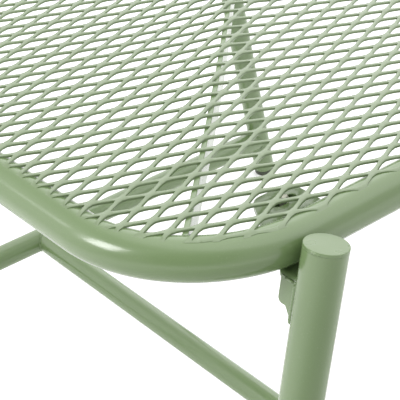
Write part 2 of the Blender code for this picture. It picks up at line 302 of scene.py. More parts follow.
def grid_faces(rows, columns, wrap_rows, wrap_columns):
    """Quads over a rows x columns grid of points numbered row by row."""
    faces = []
    for row in range(rows if wrap_rows else rows - 1):
        after = (row + 1) % rows
        for column in range(columns if wrap_columns else columns - 1):
            beside = (column + 1) % columns
            faces.append((
                row * columns + column,
                row * columns + beside,
                after * columns + beside,
                after * columns + column,
            ))
    return faces


def swept(name, centres, normals, sides_out, radii, sides, closed):
    """A round tube along centres; normals and sides_out span each ring's plane."""
    verts = []
    for centre, normal, side, radius in zip(centres, normals, sides_out, radii):
        for step in range(sides):
            angle = 2 * math.pi * step / sides
            verts.append(centre + (normal * math.cos(angle) + side * math.sin(angle)) * radius)
    rows = len(centres)
    faces = grid_faces(rows, sides, closed, True)
    if not closed:
        faces.append(tuple(reversed(range(sides))))
        faces.append(tuple(range((rows - 1) * sides, rows * sides)))
    return new_mesh(name, verts, faces)


def outward(mesh):
    """Turns a closed mesh's faces outwards."""
    bm = bmesh.new()
    bm.from_mesh(mesh)
    bmesh.ops.recalc_face_normals(bm, faces=bm.faces)
    bm.to_mesh(mesh)
    bm.free()
    return mesh


def lathe(name, profile, start, axis, sides=64):
    """A solid turned about axis from start; profile points are (radius, distance), poles at radius 0."""
    axis = Vector(axis).normalized()
    side = axis.orthogonal().normalized()
    other = axis.cross(side)
    verts = []
    rings = []
    for radius, distance in profile:
        centre = Vector(start) + axis * distance
        if radius == 0:
            rings.append([len(verts)] * sides)
            verts.append(centre)
            continue
        rings.append(list(range(len(verts), len(verts) + sides)))
        for step in range(sides):
            angle = 2 * math.pi * step / sides
            verts.append(centre + (side * math.cos(angle) + other * math.sin(angle)) * radius)
    faces = []
    whole = profile[0][0] != 0
    for index in range(len(rings) if whole else len(rings) - 1):
        low = rings[index]
        high = rings[(index + 1) % len(rings)]
        for step in range(sides):
            beside = (step + 1) % sides
            corners = [low[step], low[beside], high[beside], high[step]]
            face = list(dict.fromkeys(corners))
            if len(face) > 2:
                faces.append(face)
    return outward(new_mesh(name, verts, faces))


def rod(name, radius, length, start, axis, sides):
    """A solid cylinder from start along axis."""
    return lathe(name, [(0, 0), (radius, 0), (radius, length), (0, length)], start, axis, sides)


def arc(centre, radius, start, end, steps):
    """Points of an arc in a profile's plane, angles in degrees."""
    points = []
    for step in range(steps + 1):
        angle = math.radians(start + (end - start) * step / steps)
        points.append((centre[0] + radius * math.cos(angle), centre[1] + radius * math.sin(angle)))
    return points


def bead(name, points, radius, closed, seed, sides=10, ripple=0.10, pitch=0.0028):
    """A weld bead along points, with the ripples of its stacked puddles."""
    points = [Vector(p) for p in points]
    count = len(points)
    steps = [(points[(i + 1) % count] - points[i]).length for i in range(count if closed else count - 1)]
    total = sum(steps)
    number = max(8, int(total / (pitch / 4)))
    spots = []
    tangents = []
    travelled = 0.0
    index = 0
    for i in range(number if closed else number + 1):
        target = total * i / number
        while index < len(steps) - 1 and travelled + steps[index] < target:
            travelled += steps[index]
            index += 1
        share = min(1.0, max(0.0, (target - travelled) / steps[index]))
        spots.append(points[index].lerp(points[(index + 1) % count], share))
    amount = len(spots)
    for i in range(amount):
        before = spots[i - 1] if closed or i > 0 else spots[0]
        after = spots[(i + 1) % amount] if closed or i < amount - 1 else spots[-1]
        tangents.append((after - before).normalized())
    drift = np.random.default_rng(seed).normal(0.0, 0.35, amount + 8)
    drift = np.convolve(drift, np.ones(9) / 9, "valid")
    normals = []
    sides_out = []
    radii = []
    reference = tangents[0].orthogonal().normalized()
    for i in range(amount):
        reference = (reference - tangents[i] * reference.dot(tangents[i])).normalized()
        normals.append(reference.copy())
        sides_out.append(tangents[i].cross(reference))
        phase = total * i / number / pitch
        size = radius * (1 + ripple * (abs(math.sin(math.pi * phase)) - 0.6) + 0.25 * drift[i])
        if not closed:
            end_share = 4 * min(i, amount - 1 - i) / amount * total / (4 * radius)
            size *= math.sqrt(max(0.02, min(1.0, end_share)))
        radii.append(size)
    if closed:
        turn = normals[0].angle(reference, 0.0)
        if normals[0].cross(reference).dot(tangents[0]) < 0:
            turn = -turn
        for i in range(amount):
            back = Matrix.Rotation(-turn * i / amount, 3, tangents[i])
            normals[i] = back @ normals[i]
            sides_out[i] = back @ sides_out[i]
    return outward(swept(name, spots, normals, sides_out, radii, sides, closed))


def leg_point(corner, height):
    """A point on a leg's axis at the given height."""
    side_x, side_y = corner
    return Vector((side_x * (LEG_X + LEG_SPLAY * (RIM_Z - height)), side_y * LEG_Y, height))


def leg_axis(corner):
    return (leg_point(corner, 1.0) - leg_point(corner, 0.0)).normalized()


def ray_to_cylinder(start, direction, centre, axis, radius):
    """How far along direction the ray first meets a cylinder, or None."""
    offset = start - centre
    across = direction - axis * direction.dot(axis)
    apart = offset - axis * offset.dot(axis)
    a = across.length_squared
    b = 2 * across.dot(apart)
    c = apart.length_squared - radius**2
    root = b * b - 4 * a * c
    if root < 0:
        return None
    return (-b - math.sqrt(root)) / (2 * a)


# ---- Rim
def rounded_path(half, radius, corner_steps, side_steps):
    """Points and outward normals of a rounded square, counter-clockwise."""
    spots = []
    for quarter in range(4):
        turn = math.pi / 2 * quarter
        middle = Vector((half - radius, half - radius))
        for step in range(corner_steps):
            angle = math.pi / 2 * step / corner_steps
            normal = Vector((math.cos(angle), math.sin(angle)))
            spots.append((middle + normal * radius, normal))
        run = half - radius
        for step in range(side_steps):
            normal = Vector((0.0, 1.0))
            spots.append((Vector((run - 2 * run * step / side_steps, half)), normal))
        block = corner_steps + side_steps
        back = Matrix.Rotation(turn, 2)
        spots[-block:] = [(back @ spot, back @ normal) for spot, normal in spots[-block:]]
    return spots


def rim_shell(name, radius, sides, flip):
    spots = rounded_path(RIM_HALF, RIM_CORNER, 40, 30)
    centres = [Vector((spot.x, spot.y, RIM_Z)) for spot, _ in spots]
    normals = [Vector((normal.x, normal.y, 0.0)) for _, normal in spots]
    ups = [Vector((0.0, 0.0, 1.0))] * len(spots)
    mesh = outward(swept(name, centres, normals, ups, [radius] * len(spots), sides, True))
    if flip:
        mesh.flip_normals()
    return mesh


def applied(name, mesh, tools, operation="DIFFERENCE"):
    """The mesh after Booleans with the tools, which are then removed."""
    obj = placed(name, mesh)
    helpers = []
    for tool in tools:
        helper = placed(name + "_tool", tool)
        helpers.append(helper)
        modifier = obj.modifiers.new("boolean", "BOOLEAN")
        modifier.operation = operation
        modifier.solver = "EXACT"
        modifier.object = helper
    graph = bpy.context.evaluated_depsgraph_get()
    result = bpy.data.meshes.new_from_object(obj.evaluated_get(graph))
    result.name = name
    for helper in helpers:
        tool = helper.data
        bpy.data.objects.remove(helper)
        bpy.data.meshes.remove(tool)
    bpy.data.objects.remove(obj)
    return result


def make_rim():
    shell = joined("top_rim_tube", [
        rim_shell("outer", TUBE_R, 64, False),
        rim_shell("inner", TUBE_R - TUBE_WALL, 24, True),
    ])
    drains = []
    for side in (-1, 1):
        start = (side * RIM_HALF, 0.0, RIM_Z - 2 * TUBE_R)
        drains.append(rod("drain", DRAIN_R, 2 * TUBE_R, start, (0, 0, 1), 24))
    add_piece("top_rim_tube", applied("top_rim_tube", shell, drains), COAT, ["top_rim"])


# ---- Expanded sheet
def inward(x, y):
    """How far inside the rim's centre line a point lies (arrays)."""
    run = RIM_HALF - RIM_CORNER
    dx = np.maximum(np.abs(x) - run, 0.0)
    dy = np.maximum(np.abs(y) - run, 0.0)
    outside = np.hypot(dx, dy)
    straight = np.maximum(np.abs(x), np.abs(y)) - run
    return RIM_CORNER - np.where(outside > 0, outside, np.minimum(straight, 0.0))


def sheet_height(x, y, share):
    """The sheet's surface height; share runs from 0 at its underside to 1 on top."""
    a = np.abs(x) / RIM_HALF
    b = np.abs(y) / RIM_HALF
    high = np.maximum(np.maximum(a, b), 1e-6)
    low = np.minimum(a, b)
    sag = SHEET_SAG * 4 * high * np.clip(1 - high, 0, 1) * (1 - (low / high) ** 2)
    depth = inward(x, y)
    tube = np.sqrt(np.clip(TUBE_R**2 - depth**2, 0.0, None)) - 0.00015
    bottom = np.maximum(SHEET_MID - sag - SHEET_THICK / 2, tube)
    over = SHEET_OVER_X + (SHEET_OVER_Y - SHEET_OVER_X) * (np.abs(y) > np.abs(x))
    fade = SHEET_EDGE_SHARE + np.clip(depth / SHEET_TAPER, 0.0, 1.0) * (1 - SHEET_EDGE_SHARE)
    fade += np.minimum(depth, 0.0) / over * SHEET_END_LOSS
    fade = np.maximum(fade, 0.15)
    fade *= np.clip(SHEET_END_SHARE + (depth + over) / SHEET_END_RUN, SHEET_END_SHARE, 1.0)
    top = np.minimum(bottom + SHEET_THICK * fade, SHEET_TOP)
    return RIM_Z + bottom + share * (top - bottom)


def make_sheet():
    """The expanded sheet: bowed strands over the whole top, cut to the rim, then laid over its tube."""
    half_long = SHEET_LONG / 2
    row_step = SHEET_SHORT / 2
    reach = RIM_HALF * 1.06
    rows = int(reach * 1.05 / row_step) + 34
    halves = int(reach * 1.05 / half_long) + 18
    strand = (half_long - SHEET_BOND) / 4
    offsets = [-SHEET_BOND / 2, 0.0, SHEET_BOND / 2]
    offsets += [SHEET_BOND / 2 + strand * step for step in (1, 2, 3)]
    per = len(offsets)
    row_ids = np.arange(-rows, rows + 1)
    half_ids = np.arange(-halves, halves + 1)
    along = (half_ids[:, None] * half_long + np.array(offsets)[None, :]).ravel()
    kind = np.tile(np.arange(per), len(half_ids))
    half_of = np.repeat(half_ids, per)
    stations = len(along)
    length = half_long - SHEET_BOND / 2
    verts = []
    index = np.zeros((len(row_ids), stations, 2, 3), int)
    closed = np.zeros((len(row_ids), stations), bool)
    count = 0
    chunks = []
    for r, row in enumerate(row_ids):
        bonded = (half_of + row) % 2 != 0
        inside = bonded & (kind <= 2)
        nearest = np.where(bonded, np.where(kind <= 2, half_of, half_of + 1), half_of)
        away = np.abs(along - nearest * half_long) / length
        away = np.where(inside, 1.0, np.minimum(away, 1.0))
        shape = (np.sqrt(away**2 + SHEET_TIP**2) - SHEET_TIP) / (math.sqrt(1 + SHEET_TIP**2) - SHEET_TIP)
        opening = np.where(inside, 0.0, SHEET_OPEN * (1 - shape))
        closed[r] = inside
        for side, sign in ((0, 1), (1, -1)):
            for v, (inset, level) in enumerate(((1, 1.0), (0, 1.0 - SHEET_CHAMFER / SHEET_THICK), (0, 0.0))):
                q = row * row_step + sign * (opening + np.where(inside, 0.0, inset * SHEET_CHAMFER))
                chunks.append(np.stack([along, q, np.full(stations, level)], 1))
                index[r, :, side, v] = np.arange(count, count + stations)
                count += stations
        index[r, inside, 1, :] = index[r, inside, 0, :]
    flat = np.concatenate(chunks)
    cos, sin = math.cos(SHEET_TURN), math.sin(SHEET_TURN)
    x = SHEET_HOLE[0] + flat[:, 0] * cos - flat[:, 1] * sin
    y = SHEET_HOLE[1] + flat[:, 0] * sin + flat[:, 1] * cos
    depth = inward(x, y)
    near = depth > -SHEET_OVER_Y - 0.012
    faces = []
    for r in range(len(row_ids) - 1):
        low = index[r, :, 0, :]
        high = index[r + 1, :, 1, :]
        first = np.arange(stations - 1)
        after = first + 1
        keep = near[low[first, 0]] | near[low[after, 0]] | near[high[first, 0]] | near[high[after, 0]]
        i = first[keep]
        j = after[keep]
        if not len(i):
            continue
        faces.append(np.stack([low[i, 0], low[j, 0], high[j, 0], high[i, 0]], 1))
        faces.append(np.stack([low[i, 2], high[i, 2], high[j, 2], low[j, 2]], 1))
        for edge, shut, flip in ((low, closed[r], False), (high, closed[r + 1], True)):
            free = ~(shut[i] & shut[j] & (kind[i] <= 1))
            a, b = i[free], j[free]
            for top, bottom in ((0, 1), (1, 2)):
                quad = [edge[a, bottom], edge[b, bottom], edge[b, top], edge[a, top]]
                faces.append(np.stack(quad[::-1] if flip else quad, 1))
    faces = np.concatenate(faces)
    used, inverse = np.unique(faces, return_inverse=True)
    faces = inverse.reshape(faces.shape)
    points = np.stack([x[used], y[used], flat[used, 2] * SHEET_THICK], 1)
    mesh = bpy.data.meshes.new("sheet")
    mesh.vertices.add(len(points))
    mesh.vertices.foreach_set("co", points.ravel())
    mesh.loops.add(faces.size)
    mesh.loops.foreach_set("vertex_index", faces.ravel())
    mesh.polygons.add(len(faces))
    mesh.polygons.foreach_set("loop_start", np.arange(0, faces.size, 4))
    mesh.update(calc_edges=True)
    bm = bmesh.new()
    bm.from_mesh(mesh)
    bpy.data.meshes.remove(mesh)
    outline = rounded_path(RIM_HALF + SHEET_OVER_X, RIM_CORNER + SHEET_OVER_X, 14, 1)
    extra = SHEET_OVER_Y - SHEET_OVER_X
    corners = [spot + Vector((0.0, math.copysign(extra, spot.y))) for spot, _ in outline]
    # dicts keep their order; a set of mesh elements would cut in a different order each run
    band = dict.fromkeys(v for v in bm.verts if inward_point(v.co) < 0.004)
    for position, here in enumerate(corners):
        there = corners[(position + 1) % len(corners)]
        direction = (there - here).normalized()
        normal = Vector((direction.y, -direction.x, 0.0))
        spot = Vector((here.x, here.y, 0.0))
        out = [v for v in band if v.is_valid and (v.co - spot).dot(normal) > 0]
        cut_faces = dict.fromkeys(f for v in out for f in v.link_faces)
        cut_edges = dict.fromkeys(e for f in cut_faces for e in f.edges)
        cut_verts = dict.fromkeys(v for f in cut_faces for v in f.verts)
        geometry = [*cut_verts, *cut_edges, *cut_faces]
        made = bmesh.ops.bisect_plane(
            bm, geom=geometry, plane_co=spot, plane_no=normal, clear_outer=True, dist=1e-7
        )
        kept = [v for v in band if v.is_valid]
        new = [g for g in made["geom_cut"] if isinstance(g, bmesh.types.BMVert)]
        band = dict.fromkeys(kept + new)
    loose = [v for v in bm.verts if not v.link_faces]
    bmesh.ops.delete(bm, geom=loose, context="VERTS")
    open_edges = [e for e in bm.edges if e.is_boundary]
    bmesh.ops.holes_fill(bm, edges=open_edges, sides=0)
    islands(bm)
    for v in bm.verts:
        share = v.co.z / SHEET_THICK
        v.co.z = float(sheet_height(np.array(v.co.x), np.array(v.co.y), share))
    many = [f for f in bm.faces if len(f.verts) > 4]
    bmesh.ops.triangulate(bm, faces=many)
    mesh = bpy.data.meshes.new("expanded_sheet")
    bm.to_mesh(mesh)
    bm.free()
    add_piece("expanded_sheet", mesh, SHEET_COAT, ["mesh_panel"], sharp=50.0)


def inward_point(co):
    return float(inward(np.array(co.x), np.array(co.y)))


def islands(bm):
    """Deletes scraps that the cut left apart from the sheet."""
    seen = set()
    groups = []
    for vert in bm.verts:
        if vert in seen:
            continue
        stack = [vert]
        seen.add(vert)
        group = []
        while stack:
            here = stack.pop()
            group.append(here)
            for edge in here.link_edges:
                other = edge.other_vert(here)
                if other not in seen:
                    seen.add(other)
                    stack.append(other)
        groups.append(group)
    groups.sort(key=len)
    scraps = [v for group in groups[:-1] for v in group]
    bmesh.ops.delete(bm, geom=scraps, context="VERTS")


# ---- Stiffeners
BAR_WIDTH = 0.005
BAR_DEPTH = 0.030
BAR_EDGE = 0.0009
BAR_BOW = 0.0045
CORNER_REACH = math.sqrt(2) * (RIM_HALF - RIM_CORNER) + RIM_CORNER
BAR_TOP = SHEET_MID - SHEET_THICK / 2 - 0.0001


def rim_stop(height):
    """Where a diagonal bar meets the rim's tube, at a height from the rim's middle."""
    return CORNER_REACH - math.sqrt(max(0.0, (TUBE_R + SHAVE) ** 2 - height**2))


def bar_section():
    """(across, height) points round a bar's section."""
    low = BAR_TOP - BAR_DEPTH
    half = BAR_WIDTH / 2
    e = BAR_EDGE
    points = []
    for x, z, start in ((half, BAR_TOP, 0), (-half, BAR_TOP, 90), (-half, low, 180), (half, low, 270)):
        centre = (x - math.copysign(e, x), z - e if z == BAR_TOP else z + e)
        points += arc(centre, e, start, start + 90, 3)
        if start in (90, 270):
            target = low + e if start == 90 else BAR_TOP - e
            source = BAR_TOP - e if start == 90 else low + e
            for step in range(1, 6):
                points.append((x, source + (target - source) * step / 6))
    return points


def bar_mesh(name, angle, start, end, bow):
    """A flat bar on edge along a diagonal; start and end are distances or None for the rim."""
    section = bar_section()
    columns = 40
    turn = Matrix.Rotation(angle, 3, "Z")
    verts = []
    for column in range(columns + 1):
        share = column / columns
        for across, height in section:
            first = -rim_stop(height) if start is None else start
            last = rim_stop(height) if end is None else end
            s = first + (last - first) * share
            lean = bow * math.sin(math.pi * s / CORNER_REACH) if bow else 0.0
            verts.append(turn @ Vector((s, across + lean, RIM_Z + height)))
    count = len(section)
    faces = grid_faces(columns + 1, count, False, True)
    faces.append(tuple(reversed(range(count))))
    faces.append(tuple(range(columns * count, (columns + 1) * count)))
    return outward(new_mesh(name, verts, faces))


def make_stiffeners():
    gap = BAR_WIDTH / 2 + GAP
    for name, angle, start, bow in (
        ("stiffener_long", math.radians(45), None, BAR_BOW),
        ("stiffener_left", math.radians(135), gap, 0.0),
        ("stiffener_right", math.radians(-45), gap, 0.0),
    ):
        mesh = bar_mesh(name, angle, start, None, bow)
        add_piece(name + "_bar", mesh, COAT, [name], sharp=60.0)
    welds = []
    for number, angle in enumerate((45, 135, 225, 315)):
        turn = Matrix.Rotation(math.radians(angle), 3, "Z")
        for side in (-1, 1):
            points = []
            for step in range(13):
                height = -0.0095 + 0.0225 * step / 12
                points.append(turn @ Vector((rim_stop(height), side * BAR_WIDTH / 2, RIM_Z + height)))
            welds.append(bead("weld", points, 0.0021, False, 10 + number * 2 + side))
    for side_x, side_y in ((1, 1), (1, -1), (-1, 1), (-1, -1)):
        turn = Matrix.Rotation(math.radians(45), 3, "Z")
        half = BAR_WIDTH / 2
        points = []
        for step in range(11):
            height = RIM_Z + BAR_TOP - 0.003 - 0.0024 * step
            points.append(turn @ Vector((side_x * half, side_y * half, height)))
        welds.append(bead("weld", points, 0.0019, False, 30 + side_x + 2 * side_y))
    add_piece("stiffener_welds", joined("stiffener_welds", welds), WELD_COAT)


# ---- Legs, caps and feet
SPATTER_TURN = 4.0


def make_leg(place, corner):
    axis = leg_axis(corner)
    bottom = leg_point(corner, FOOT_HEIGHT)
    rise = TUBE_R * math.sin(SPLAY_ANGLE)
    top = leg_point(corner, CAP_TOP - rise)
    length = (top - bottom).length
    wall = TUBE_R - TUBE_WALL
    end = length - CAP_HEIGHT
    profile = [(TUBE_R - 0.0004, 0.0), (TUBE_R, 0.0005)]
    profile += [(TUBE_R, end * step / 12) for step in range(1, 12)]
    profile += [(TUBE_R, end - 0.00015), (TUBE_R - 0.0001, end - 0.00005)]
    profile += [(wall, end - 0.00005), (wall, 0.0)]
    tube = lathe("leg", profile, bottom, axis, 72)
    add_piece("leg_tube_" + place, tube, COAT, ["leg_" + place])
    cap = [(0, 0), (TUBE_R - 0.0002, 0), (TUBE_R - 0.00005, 0.0001)]
    cap += arc((TUBE_R - 0.0008, CAP_HEIGHT - 0.0008), 0.0008, 0, 90, 5)
    cap += [(0, CAP_HEIGHT)]
    disc = lathe("cap", cap, top - axis * CAP_HEIGHT, axis, 72)
    across = axis.cross(Vector((0.0, 1.0, 0.0))).normalized()
    beside = axis.cross(across)
    run = []
    for step in range(9):
        turn = math.radians(SPATTER_TURN + 3.5 * step)
        out = across * math.cos(turn) + beside * math.sin(turn)
        run.append(top - axis * (0.0012 + 0.00015 * step) + out * (TUBE_R - 0.0001))
    spatter = bead("spatter", run, 0.0009, False, 60, ripple=0.3)
    cap = joined("cap", [disc, spatter])
    add_piece("cap_disc_" + place, cap, CAP_COAT, ["leg_cap_" + place])
    make_foot(place, corner, bottom - axis * GAP, axis)


def make_foot(place, corner, top, axis):
    """A plastic glide: a collar cut level with the ground, and a ribbed plug inside the tube."""
    plug = TUBE_R - TUBE_WALL - GAP
    profile = [(0, 0.022), (plug - 0.0015, 0.022), (plug - 0.0004, 0.0205)]
    for rib in range(3):
        base = 0.018 - 0.005 * rib
        profile += [(plug, base), (plug, base - 0.0012)]
        profile += [(plug - 0.0008, base - 0.002), (plug - 0.0008, base - 0.0035)]
    profile += [(plug, 0.0), (TUBE_R - 0.0006, 0.0), (TUBE_R, -0.0007), (TUBE_R, -0.0045)]
    profile += [(TUBE_R - 0.0004, -0.0050), (TUBE_R - 0.0004, -0.0056), (TUBE_R, -0.0061)]
    profile += [(TUBE_R, -0.0300), (0, -0.0300)]
    mesh = lathe("foot", profile, top, axis, 64)
    bm = bmesh.new()
    bm.from_mesh(mesh)
    bpy.data.meshes.remove(mesh)
    geometry = [*bm.verts, *bm.edges, *bm.faces]
    made = bmesh.ops.bisect_plane(
        bm, geom=geometry, plane_co=(0, 0, 0), plane_no=(0, 0, -1), clear_outer=True
    )
    rim_edges = [g for g in made["geom_cut"] if isinstance(g, bmesh.types.BMEdge)]
    filled = bmesh.ops.edgeloop_fill(bm, edges=rim_edges)["faces"]
    loop = list(dict.fromkeys(e for f in filled for e in f.edges))
    bmesh.ops.bevel(bm, geom=loop, offset=0.0012, segments=3, profile=0.5, affect="EDGES")
    result = bpy.data.meshes.new("foot")
    bm.to_mesh(result)
    bm.free()
    add_piece("foot_glide_" + place, outward(result), PLASTIC, ["foot_" + place])


# ---- Rails and stretcher
def coped_tube(name, radius, start, end, stops, sides=64):
    """A tube whose two ends follow the round surfaces in stops, and the end contours."""
    axis = (end - start).normalized()
    up = Vector((0.0, 0.0, 1.0))
    side = axis.cross(up)
    middle = (start + end) / 2
    contours = []
    for (centre, stop_axis, stop_radius), direction in zip(stops, (-axis, axis)):
        rings = []
        for wall in (radius, radius - TUBE_WALL):
            ring = []
            for step in range(sides):
                angle = 2 * math.pi * step / sides
                spot = middle + (side * math.cos(angle) + up * math.sin(angle)) * wall
                run = ray_to_cylinder(spot, direction, centre, stop_axis, stop_radius)
                ring.append(spot + direction * run)
            rings.append(ring)
        contours.append(rings)
    verts = []
    spans = 10
    for share in range(spans + 1):
        verts += [a.lerp(b, share / spans) for a, b in zip(contours[0][0], contours[1][0])]
    for share in range(2):
        verts += [a.lerp(b, share) for a, b in zip(contours[1][1], contours[0][1])]
    mesh = outward(new_mesh(name, verts, grid_faces(spans + 3, sides, True, True)))
    return mesh, contours[0][0], contours[1][0]


RAIL_BEAD_REACH = TUBE_R - 0.0019


def make_base():
    rail_lines = []
    for number, (place, side_y) in enumerate((("front", -1), ("rear", 1))):
        ends = [leg_point((side_x, side_y), RAIL_Z) for side_x in (-1, 1)]
        stops = [(end, leg_axis((side_x, side_y)), TUBE_R + SHAVE) for end, side_x in zip(ends, (-1, 1))]
        mesh, left, right = coped_tube("rail", TUBE_R, *ends, stops)
        add_piece("rail_tube_" + place, mesh, COAT, ["rail_" + place])
        welds = []
        for i, line in enumerate((left, right)):
            for spot in line:
                off = spot.y - side_y * LEG_Y
                spot.y -= off - max(-RAIL_BEAD_REACH, min(RAIL_BEAD_REACH, off))
            welds.append(bead("weld", line, 0.0017, True, 50 + 2 * number + i))
        add_piece("rail_welds_" + place, joined("rail_welds", welds), WELD_COAT)
        rail_lines.append((ends[0], (ends[1] - ends[0]).normalized(), TUBE_R + SHAVE))
    start = Vector((0.0, -LEG_Y, RAIL_Z))
    end = Vector((0.0, LEG_Y, RAIL_Z))
    mesh, front, rear = coped_tube("stretcher", STRETCHER_R, start, end, rail_lines)
    add_piece("stretcher_tube", mesh, COAT, ["stretcher"])
    welds = [bead("weld", line, 0.0016, True, 60 + i) for i, line in enumerate((front, rear))]
    add_piece("stretcher_welds", joined("stretcher_welds", welds), WELD_COAT)


# ---- Brackets and lugs
PLATE = 0.005
LUG_NEAR = 0.057
LUG_FAR = -0.009
LUG_TIP = 0.014
LUG_REACH = 0.100
FLANGE_NEAR = 0.050
FLANGE_FAR = 0.004
FLANGE_REACH = 0.095
STRIP_NEAR = 0.040
WEB_FAR = -0.0145
BEND_RADIUS = 0.0045
STRIP_REACH = 0.0635
BEND_START = STRIP_REACH - BEND_RADIUS
BEND_RISE = TUBE_R - 2 * BEND_RADIUS
UNFOLD = math.pi * BEND_RADIUS + BEND_RISE - 2 * BEND_RADIUS
GUSSET_SIDE = 0.0105
GUSSET_REACH = 0.033
GUSSET_BOTTOM = -0.0486
GUSSET_TOE = -0.0600
BOLT_ACROSS = 0.033
BOLT_REACH = 0.081
BOLT_HOLE = 0.0045
SLOT_RUN = 0.017
PLATE_EDGE = 0.0007
UNDER_RIM = -TUBE_R - GAP
GUSSET_TOP = UNDER_RIM - PLATE + 0.0003
TACK_REACH = 0.028
SEAM_REACH = 0.0185


def bracket_point(corner, across, reach, height):
    """A point by a leg's top: across towards the middle in X, reach from the leg's axis inwards."""
    side_x, side_y = corner
    return Vector((side_x * (LEG_X - across), side_y * (LEG_Y - reach), RIM_Z + height))


def rounded_outline(corners, steps=8):
    """Points of a polygon whose corners, given as (x, y, radius), are rounded."""
    points = []
    count = len(corners)
    for index, (x, y, radius) in enumerate(corners):
        here = Vector((x, y))
        if radius == 0:
            points.append((x, y))
            continue
        before = (Vector(corners[index - 1][:2]) - here).normalized()
        after = (Vector(corners[(index + 1) % count][:2]) - here).normalized()
        half = before.angle(after) / 2
        centre = here + (before + after).normalized() * radius / math.sin(half)
        first = here + before * radius / math.tan(half) - centre
        sweep = first.angle_signed(here + after * radius / math.tan(half) - centre)
        for step in range(steps + 1):
            points.append(tuple(centre + Matrix.Rotation(-sweep * step / steps, 2) @ first))
    return points


def plate_mesh(name, outline, thickness, place):
    """A flat plate: outline in place's XY plane, thickness centred on it."""
    count = len(outline)
    verts = [place @ Vector((x, y, -thickness / 2)) for x, y in outline]
    verts += [place @ Vector((x, y, thickness / 2)) for x, y in outline]
    faces = grid_faces(2, count, False, True)
    faces.append(tuple(reversed(range(count))))
    faces.append(tuple(range(count, 2 * count)))
    return outward(new_mesh(name, verts, faces))


def axes_frame(origin, x_axis, y_axis):
    x_axis = Vector(x_axis)
    y_axis = Vector(y_axis)
    place = Matrix((x_axis, y_axis, x_axis.cross(y_axis))).transposed().to_4x4()
    place.translation = origin
    return place


def level_outline(corner, spots, steps=10):
    """World X and Y of an outline given as (across, reach, radius) beside a leg's top."""
    level = [
        (*bracket_point(corner, across, reach, 0.0).to_2d(), radius) for across, reach, radius in spots
    ]
    return rounded_outline(level, steps)


def soften(mesh, width, name):
    """Rounds a mesh's sharp edges."""
    obj = placed(name, mesh)
    edge = obj.modifiers.new("edge", "BEVEL")
    edge.width = width
    edge.segments = 3
    edge.limit_method = "ANGLE"
    edge.angle_limit = math.radians(40)
    edge.use_clamp_overlap = True
    graph = bpy.context.evaluated_depsgraph_get()
    result = bpy.data.meshes.new_from_object(obj.evaluated_get(graph))
    bpy.data.objects.remove(obj)
    bpy.data.meshes.remove(mesh)
    return result


def make_lug(place, corner):
    """The lug welded inside the rim, with a slot along X for the bolt."""
    level = Matrix.Translation((0.0, 0.0, RIM_Z + PLATE / 2))
    spots = [
        (LUG_NEAR, 0.050, 0),
        (LUG_NEAR, LUG_REACH, 0.008),
        (LUG_TIP, LUG_REACH, 0.014),
        (LUG_FAR, 0.060, 0),
        (LUG_FAR, 0.050, 0),
    ]
    lug = plate_mesh("lug", level_outline(corner, spots), PLATE, level)
    half_run = SLOT_RUN / 2 + BOLT_HOLE
    spots = [
        (BOLT_ACROSS + across, BOLT_REACH + reach, 0.98 * BOLT_HOLE)
        for across, reach in (
            (-half_run, -BOLT_HOLE),
            (-half_run, BOLT_HOLE),
            (half_run, BOLT_HOLE),
            (half_run, -BOLT_HOLE),
        )
    ]
    slot = plate_mesh("slot", level_outline(corner, spots), 4 * PLATE, level)
    lug = applied("lug", lug, [rim_shell("rim_cut", TUBE_R + SHAVE, 48, False), slot])
    lug = soften(lug, PLATE_EDGE, "lug")
    add_piece("lug_plate_" + place, lug, COAT, ["rim_lug_" + place], sharp=45.0)


def folded(run):
    """Reach, height and lean of the bracket plate's middle surface, at a run along it when flat."""
    quarter = math.pi / 2 * BEND_RADIUS
    up = min(max(run - BEND_START, 0.0), quarter) / BEND_RADIUS
    climb = min(max(run - BEND_START - quarter, 0.0), BEND_RISE)
    out = min(max(run - BEND_START - quarter - BEND_RISE, 0.0), quarter) / BEND_RADIUS
    rest = max(run - BEND_START - 2 * quarter - BEND_RISE, 0.0)
    reach = min(run, BEND_START) + BEND_RADIUS * (math.sin(up) + 1 - math.cos(out)) + rest
    height = UNDER_RIM - PLATE / 2 + BEND_RADIUS * (1 - math.cos(up) + math.sin(out)) + climb
    return reach, height, up - out


def bent(corner, mesh):
    """Folds a level plate, drawn flat at the web's height, up beside the rim and out under the lug."""
    side_y = corner[1]
    quarter = math.pi / 2 * BEND_RADIUS
    stations = [BEND_START + quarter * step / 6 for step in range(7)]
    stations += [BEND_START + quarter + BEND_RISE + quarter * step / 6 for step in range(7)]
    bm = bmesh.new()
    bm.from_mesh(mesh)
    for station in stations:
        geometry = [*bm.verts, *bm.edges, *bm.faces]
        spot = (0.0, side_y * (LEG_Y - station), 0.0)
        bmesh.ops.bisect_plane(bm, geom=geometry, plane_co=spot, plane_no=(0.0, 1.0, 0.0), dist=1e-7)
    for vert in bm.verts:
        off = vert.co.z - (RIM_Z + UNDER_RIM - PLATE / 2)
        reach, height, lean = folded(LEG_Y - side_y * vert.co.y)
        vert.co.y = side_y * (LEG_Y - reach + off * math.sin(lean))
        vert.co.z = RIM_Z + height + off * math.cos(lean)
    bm.to_mesh(mesh)
    bm.free()
    return mesh


